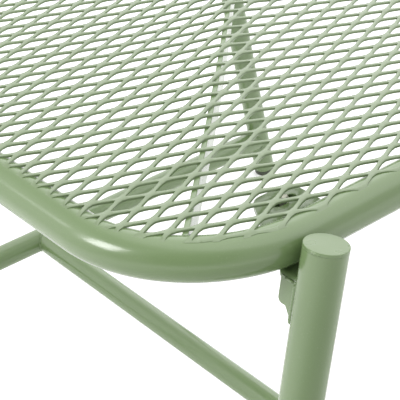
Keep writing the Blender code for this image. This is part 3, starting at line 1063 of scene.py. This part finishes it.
def make_bracket(place, corner):
    """One bent plate, web, strip and flange, with a gusset under it that runs down the leg."""
    side_x, side_y = corner
    axis = leg_axis(corner)
    flange_start = STRIP_REACH + BEND_RADIUS + UNFOLD
    spots = [
        (WEB_FAR, 0.012, 0),
        (WEB_FAR, GUSSET_REACH + 0.002, 0.004),
        (FLANGE_FAR, 0.055, 0.006),
        (FLANGE_FAR, flange_start, 0.010),
        (LUG_TIP + 0.003, FLANGE_REACH + UNFOLD, 0.012),
        (FLANGE_NEAR, FLANGE_REACH + UNFOLD, 0.008),
        (FLANGE_NEAR, flange_start + 0.0015, 0.003),
        (STRIP_NEAR, flange_start - 0.001, 0.003),
        (STRIP_NEAR, 0.012, 0),
    ]
    level = Matrix.Translation((0.0, 0.0, RIM_Z + UNDER_RIM - PLATE / 2))
    plate = plate_mesh("bracket", level_outline(corner, spots), PLATE, level)
    hole = bracket_point(corner, BOLT_ACROSS, BOLT_REACH + UNFOLD, UNDER_RIM - 2 * PLATE)
    drill = rod("drill", BOLT_HOLE, 4 * PLATE, hole, (0, 0, 1), 48)
    plate = applied("bracket", plate, [drill, leg_space(corner), web_rounding(corner)])
    plate = bent(corner, soften(plate, PLATE_EDGE, "bracket"))
    outline = [
        (0.012, GUSSET_TOP, 0),
        (GUSSET_REACH, GUSSET_TOP, 0),
        (GUSSET_REACH, GUSSET_BOTTOM, 0.005),
        (0.024, GUSSET_BOTTOM, 0),
        (0.016, GUSSET_TOE, 0),
        (0.012, GUSSET_TOE, 0),
    ]
    origin = leg_point(corner, RIM_Z) + leg_outer(corner) * (GUSSET_SIDE - PLATE / 2)
    upright = axes_frame(origin, (0.0, -side_y, 0.0), axis)
    gusset = plate_mesh("gusset", rounded_outline(outline), PLATE, upright)
    gusset = soften(applied("gusset", gusset, [leg_space(corner)]), PLATE_EDGE, "gusset")
    body = applied("bracket", plate, [gusset], "UNION")
    add_piece("bracket_plate_" + place, body, COAT, ["leg_bracket_" + place], sharp=45.0)


def web_rounding(corner):
    """What is cut from the web's outer end, where the plate turns down into the gusset."""
    side_x, side_y = corner
    end = WEB_FAR - 0.001
    outline = [(end, 0.001), (end, -PLATE - 0.001), (WEB_FAR, -PLATE - 0.001)]
    outline += [(WEB_FAR + PLATE + x, z) for x, z in arc((0.0, -PLATE), PLATE, 180, 90, 8)]
    outline += [(WEB_FAR + PLATE, 0.001)]
    place = axes_frame(
        bracket_point(corner, 0.0, GUSSET_REACH / 2, UNDER_RIM), (-side_x, 0.0, 0.0), (0.0, 0.0, 1.0)
    )
    return plate_mesh("rounding", outline, 2 * GUSSET_REACH, place)


def leg_outer(corner):
    """The level-ish unit vector square to a leg's axis, pointing away from the middle along X."""
    axis = leg_axis(corner)
    return Vector((corner[0] * axis.z, 0.0, abs(axis.x)))


def leg_space(corner):
    """The solid stretch of leg that the bracket is coped round."""
    start = leg_point(corner, RIM_Z - 0.05) - leg_axis(corner) * 0.2
    return rod("leg_cut", TUBE_R + SHAVE, 0.4, start, leg_axis(corner), 96)


def leg_side_line(corner, outer, start, end, count=24):
    """Points down the side of a leg facing the rim, outer away from its axis, between two runs along it."""
    reach = Vector((0.0, -corner[1] * math.sqrt(TUBE_R**2 - outer**2), 0.0))
    origin = leg_point(corner, RIM_Z) + leg_outer(corner) * outer + reach
    return [origin + leg_axis(corner) * (start + (end - start) * step / count) for step in range(count + 1)]


def make_bracket_welds(place, corner):
    """Beads where gusset and web meet the leg and each other, and where the lug meets the rim."""
    side_x, side_y = corner
    axis = leg_axis(corner)
    outer = leg_outer(corner)
    inwards = Vector((0.0, -side_y, 0.0))
    web_under = UNDER_RIM - PLATE
    welds = []
    for number, side in enumerate((GUSSET_SIDE, GUSSET_SIDE - PLATE)):
        line = leg_side_line(corner, side, GUSSET_TOE - 0.002, web_under - 0.001)
        welds.append(bead("weld", line, 0.0024 - 0.0006 * number, False, 70 + number, ripple=0.16))
    origin = leg_point(corner, RIM_Z) + outer * (GUSSET_SIDE - PLATE) + axis * (web_under - 0.0004)
    line = [origin + inwards * (0.0165 + (GUSSET_REACH - 0.0170) * step / 12) for step in range(13)]
    welds.append(bead("weld", line, 0.0015, False, 75))
    edge = leg_point(corner, RIM_Z) + outer * (GUSSET_SIDE + 0.0004) + axis * (web_under - 0.0004)
    line = [edge + inwards * (TACK_REACH + 0.0009 * step) for step in (-1, 0, 1)]
    welds.append(bead("weld", line, 0.0019, False, 76))
    line = [edge + inwards * (SEAM_REACH + 0.0011 * step) for step in range(8)]
    welds.append(bead("weld", line, 0.0013, False, 77, ripple=0.25))
    for number, height in enumerate((UNDER_RIM, web_under)):
        points = []
        for step in range(21):
            across = WEB_FAR + 0.0006 + 0.0282 * step / 20
            start = bracket_point(corner, across, 0.10, height)
            run = ray_to_cylinder(start, -inwards, leg_point(corner, 0.5), axis, TUBE_R)
            points.append(start - inwards * run)
        welds.append(bead("weld", points, 0.0014, False, 80 + number))
    for number, height in enumerate((0.0, PLATE)):
        points = []
        for step in range(25):
            across = LUG_FAR + 0.001 + (LUG_NEAR - LUG_FAR - 0.002) * step / 24
            spot = bracket_point(corner, across, 0.0, height)
            points.append(rim_side_point(spot.x, side_y, math.sqrt(TUBE_R**2 - height**2), height))
        welds.append(bead("weld", points, 0.0016, False, 90 + number))
    add_piece("bracket_welds_" + place, joined("welds", welds), WELD_COAT)


def rim_side_point(x, side_y, run, height):
    """The point of the rim's inner side at x, run inside its centre line."""
    straight = RIM_HALF - RIM_CORNER
    if abs(x) <= straight:
        y = RIM_HALF - run
    else:
        y = straight + math.sqrt((RIM_CORNER - run) ** 2 - (abs(x) - straight) ** 2)
    return Vector((x, side_y * y, RIM_Z + height))


# ---- Fasteners
HEX_R = 0.0075
BOLT_R = 0.0040
ROOT_R = 0.0033


def beside_axis(centre, angle, radius, height):
    return Vector((centre.x + math.cos(angle) * radius, centre.y + math.sin(angle) * radius, height))


def hexagon(name, radius, low, high, centre, bore, dome):
    """A hexagon with turned chamfers: the prism's corners are cut back by a cone."""
    flat = radius * math.cos(math.pi / 6)
    sides = 48
    height = high - low
    verts = []
    rings = []
    for level in (0.0, 0.12, 0.88, 1.0):
        ring = []
        for step in range(sides):
            angle = 2 * math.pi * step / sides
            local = (angle + math.pi / 6) % (math.pi / 3) - math.pi / 6
            hexed = flat / math.cos(local)
            cone = flat * 0.985 if level in (0.0, 1.0) else radius
            if level == 0.0 and dome:
                cone = flat * 0.95
            reach = min(hexed, cone)
            ring.append(len(verts))
            verts.append(beside_axis(centre, angle, reach, low + height * level))
        rings.append(ring)
    for level in (1.0, 0.0):
        if bore:
            ring = []
            for step in range(sides):
                angle = 2 * math.pi * step / sides
                ring.append(len(verts))
                verts.append(beside_axis(centre, angle, bore, low + height * level))
            rings.append(ring)
    faces = []
    count = len(rings)
    for index in range(count if bore else count - 1):
        low_ring = rings[index]
        high_ring = rings[(index + 1) % count]
        for step in range(sides):
            beside = (step + 1) % sides
            faces.append((low_ring[step], low_ring[beside], high_ring[beside], high_ring[step]))
    if not bore:
        faces.append(tuple(rings[0]))
        faces.append(tuple(rings[-1]))
    return outward(new_mesh(name, verts, faces))


def make_fasteners(place, corner):
    centre = bracket_point(corner, BOLT_ACROSS, BOLT_REACH, 0.0)
    washer = [(BOLT_HOLE, 0), (0.0078, 0), (0.0080, 0.0002)]
    washer += [(0.0080, 0.0013), (0.0078, 0.0015), (BOLT_HOLE, 0.0015)]
    mesh = lathe("washer", washer, (centre.x, centre.y, WASHER_LOW.z), (0, 0, 1), 56)
    add_piece("washer_ring_" + place, mesh, DARKENED_ZINC, ["washer_" + place])
    mesh = hexagon("nut", HEX_R, NUT_LOW.z, NUT_HIGH.z, centre, 0.0042, False)
    add_piece("nut_hex_" + place, mesh, DARKENED_ZINC, ["nut_" + place])
    head_high = WASHER_LOW.z - GAP
    head = hexagon("bolt", HEX_R, BOLT_LOW.z, head_high, centre, None, True)
    profile = [(0, 0), (0.0039, 0), (0.0039, 0.0025)]
    length = BOLT_HIGH.z - head_high
    pitch = 0.00125
    turns = int((length - 0.004) / pitch)
    for turn in range(turns):
        base = 0.0030 + turn * pitch
        for radius, share in ((ROOT_R, 0.15), (BOLT_R, 0.45), (BOLT_R, 0.6), (ROOT_R, 0.9)):
            profile.append((radius, base + share * pitch))
    profile += [(ROOT_R, length - 0.0003), (0, length)]
    shank = lathe("shank", profile, (centre.x, centre.y, head_high - 0.0001), (0, 0, 1), 40)
    bolt = applied("bolt", head, [shank], "UNION")
    add_piece("bolt_hex_" + place, bolt, DARKENED_ZINC, ["bolt_" + place])


# ---- Floor and light
# Painted shadow on the floor: round this spot the floor's colour is darker and its glow weaker, standing in
# for the shade on the camera's side.
PAINTED_SHADOW_SPOT = (-0.8, -1.7, 0.0)
PAINTED_SHADOW_INNER = 0.5
PAINTED_SHADOW_OUTER = 2.2


def make_stage():
    bm = bmesh.new()
    bmesh.ops.create_grid(bm, x_segments=8, y_segments=8, size=14.0)
    mesh = bpy.data.meshes.new("floor")
    bm.to_mesh(mesh)
    bm.free()
    floor = placed("floor", mesh)
    material, tree, shader, coords = new_material("studio_floor")
    tone = noise(tree, coords, 0.8, 2.0)
    lit = mixed(tree, tone, (0.77, 0.77, 0.77), (0.80, 0.80, 0.795))
    away = tree.nodes.new("ShaderNodeVectorMath")
    away.operation = "DISTANCE"
    tree.links.new(coords, away.inputs[0])
    away.inputs[1].default_value = PAINTED_SHADOW_SPOT
    share = ramp(tree, away.outputs["Value"], PAINTED_SHADOW_INNER, PAINTED_SHADOW_OUTER)
    share.node.interpolation_type = "SMOOTHSTEP"
    # Painted shadow: the base colour falls to 0.45 and the glow to 0.18 round the spot.
    tree.links.new(mixed(tree, share, (0.45, 0.45, 0.45), lit), shader.inputs["Base Color"])
    shader.inputs["Roughness"].default_value = 0.9
    shader.inputs["Specular IOR Level"].default_value = 0.1
    shader.inputs["Emission Color"].default_value = (1.0, 1.0, 1.0, 1.0)
    tree.links.new(ramp(tree, share, 0.0, 1.0, 0.18, 0.30), shader.inputs["Emission Strength"])
    mesh.materials.append(material)


def add_lobe(tree, total, direction, centre, inner, outer, amount):
    """total plus a soft round patch of sky: full within inner degrees of centre, gone by outer."""
    dot = tree.nodes.new("ShaderNodeVectorMath")
    dot.operation = "DOT_PRODUCT"
    tree.links.new(direction, dot.inputs[0])
    dot.inputs[1].default_value = toward(*centre)
    low, high = math.cos(math.radians(outer)), math.cos(math.radians(inner))
    patch = ramp(tree, dot.outputs["Value"], low, high, 0.0, amount)
    patch.node.interpolation_type = "SMOOTHSTEP"
    add = tree.nodes.new("ShaderNodeMath")
    add.operation = "ADD"
    add.inputs[1].default_value = total if not hasattr(total, "links") else 0.0
    if hasattr(total, "links"):
        tree.links.new(total, add.inputs[1])
    tree.links.new(patch, add.inputs[0])
    return add.outputs["Value"]


def add_light(name, place, target, width, height, power):
    data = bpy.data.lights.new(name, "AREA")
    data.shape = "RECTANGLE"
    data.size = width
    data.size_y = height
    data.energy = power
    light = placed(name, data)
    light.location = place
    light.rotation_euler = (Vector(target) - Vector(place)).to_track_quat("-Z", "Y").to_euler()


# Soft round patches of sky: azimuth and elevation, full radius, outer radius, amount
SKY_LOBES = (
    ((-3.0, 62.0), 30.0, 49.0, 1.2),
    ((46.0, 22.0), 8.0, 28.0, 1.1),
    ((130.0, 10.0), 20.0, 50.0, 0.6),
    ((-137.0, 28.0), 8.0, 42.0, -0.55),
)
SKY_GLOW = 1.13
LAMP_DISTANCE = 2.5
# Name, azimuth and elevation from the front left corner, width, height, watts
LAMPS = (
    ("key", (160.0, 31.5), 0.88, 1.00, 32.0),
    ("strip", (126.0, 26.0), 0.24, 0.50, 1.2),
)


def make_light():
    """A white studio: a wide bank overhead, a bright backdrop, a dim camera side, two lamps at the left."""
    world = bpy.data.worlds.new("studio")
    bpy.context.scene.world = world
    world.use_nodes = True
    tree = world.node_tree
    direction = tree.nodes.new("ShaderNodeTexCoord").outputs["Generated"]
    glow = SKY_GLOW
    for centre, inner, outer, amount in SKY_LOBES:
        glow = add_lobe(tree, glow, direction, centre, inner, outer, amount)
    seen = tree.nodes.new("ShaderNodeMix")
    tree.links.new(tree.nodes.new("ShaderNodeLightPath").outputs["Is Camera Ray"], seen.inputs["Factor"])
    tree.links.new(glow, seen.inputs["A"])
    seen.inputs["B"].default_value = 1.2
    background = tree.nodes["Background"]
    background.inputs["Color"].default_value = (1.0, 1.0, 1.0, 1.0)
    tree.links.new(seen.outputs["Result"], background.inputs["Strength"])
    corner = Vector((-RIM_HALF, -RIM_HALF, RIM_Z))
    for name, spot, width, height, power in LAMPS:
        add_light(name, corner + toward(*spot) * LAMP_DISTANCE, corner, width, height, power)
    bpy.context.scene.view_settings.view_transform = "Standard"


make_rim()
make_sheet()
make_stiffeners()
make_base()
for place, corner in CORNERS.items():
    make_leg(place, corner)
    make_lug(place, corner)
    make_bracket(place, corner)
    make_bracket_welds(place, corner)
    make_fasteners(place, corner)
make_stage()
make_light()
